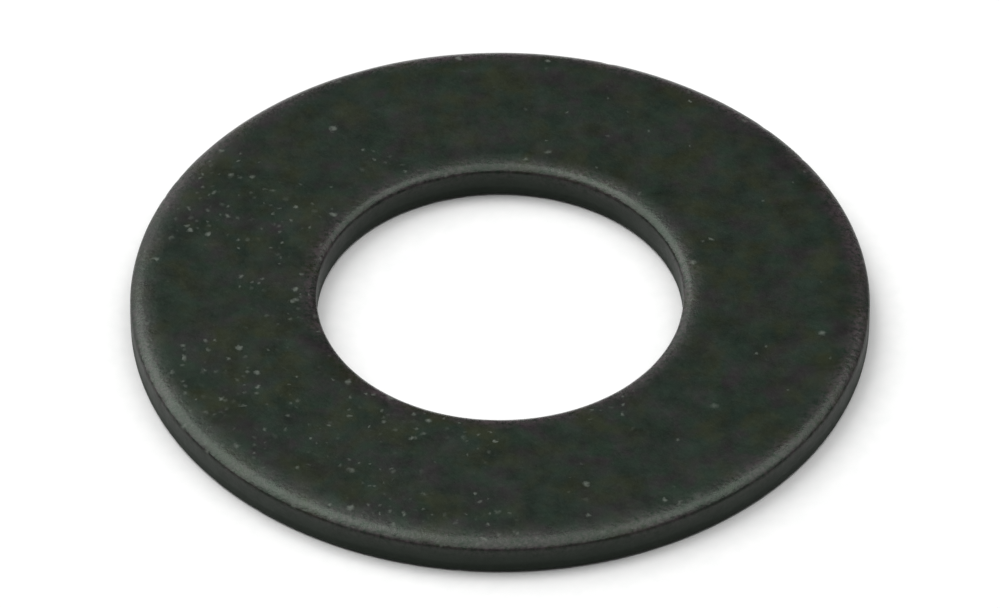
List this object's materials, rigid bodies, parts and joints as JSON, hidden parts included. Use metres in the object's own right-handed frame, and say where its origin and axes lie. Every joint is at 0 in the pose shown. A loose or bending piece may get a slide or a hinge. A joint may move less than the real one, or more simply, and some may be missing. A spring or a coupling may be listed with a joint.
{
  "type": "flat washer",
  "caption": "Thin round flat washer of dark-finished steel, with a round clearance bore and softly rolled upper edges.",
  "frame": {"origin": "centre of the bore on the bottom bearing face", "axes": "+Z along the bore axis, out of the face whose edges are rolled"},
  "size_m": [0.017, 0.017, 0.0009],
  "materials": {
    "black_oxide_steel": "satin"
  },
  "bodies": {
    "root": {"flat_washer": "black_oxide_steel"}
  },
  "joints": []
}
